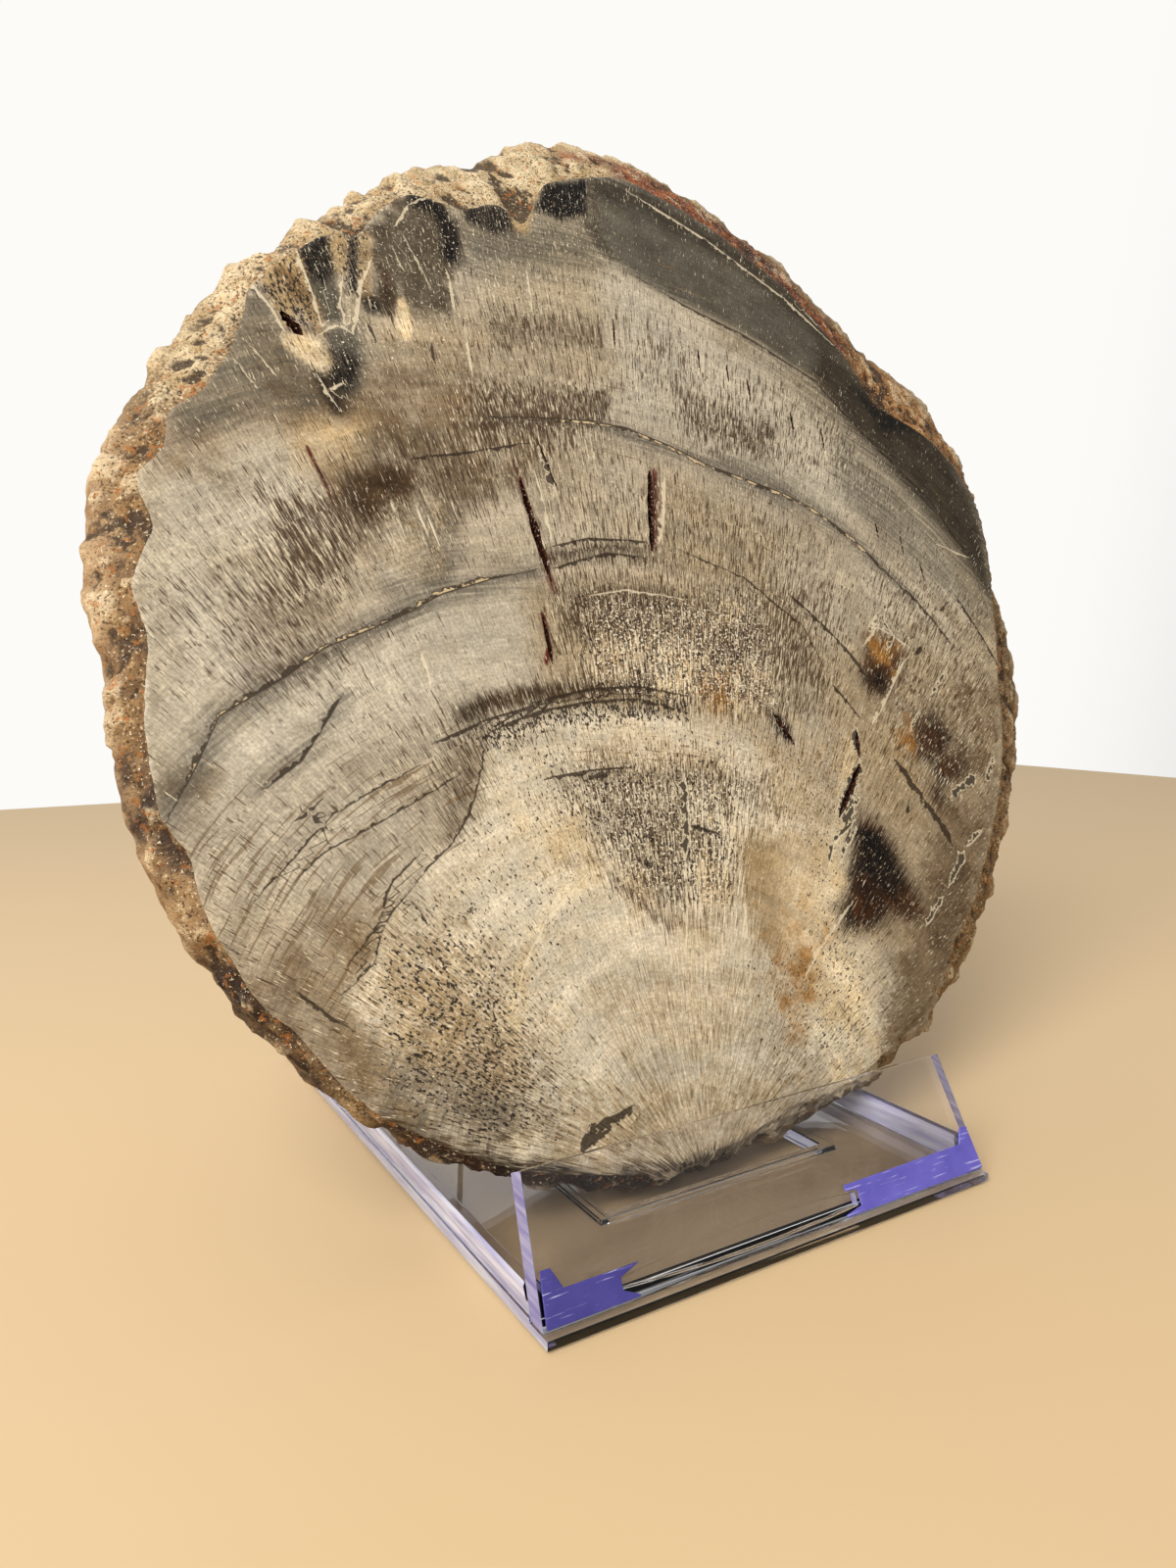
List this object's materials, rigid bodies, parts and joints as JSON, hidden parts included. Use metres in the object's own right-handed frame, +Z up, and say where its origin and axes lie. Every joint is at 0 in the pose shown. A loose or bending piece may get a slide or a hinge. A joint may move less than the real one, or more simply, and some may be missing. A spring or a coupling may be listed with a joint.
{
  "type": "petrified wood slice on a clear stand",
  "caption": "Polished cross-section of petrified wood with a knobbly bark rim, leaning upright on a small clear plastic stand with a sloping front lip.",
  "frame": {"origin": "middle of the bounding box, on the surface the stand rests on", "axes": "+Z up; the stand's lip and the polished face look towards -Y; +X runs to the viewer's right along the lip"},
  "size_m": [0.2448, 0.1424, 0.2366],
  "materials": {
    "petrified_wood": "sawn and polished face, rough bark rim",
    "clear_plastic": "clear glossy acrylic",
    "violet_film": "thin violet film with light scratches"
  },
  "bodies": {
    "root": {"stone_slice": "petrified_wood", "stand_tray": "clear_plastic", "front_lip": "clear_plastic", "back_rest": "clear_plastic", "film_left": "violet_film", "film_right": "violet_film"}
  },
  "joints": []
}
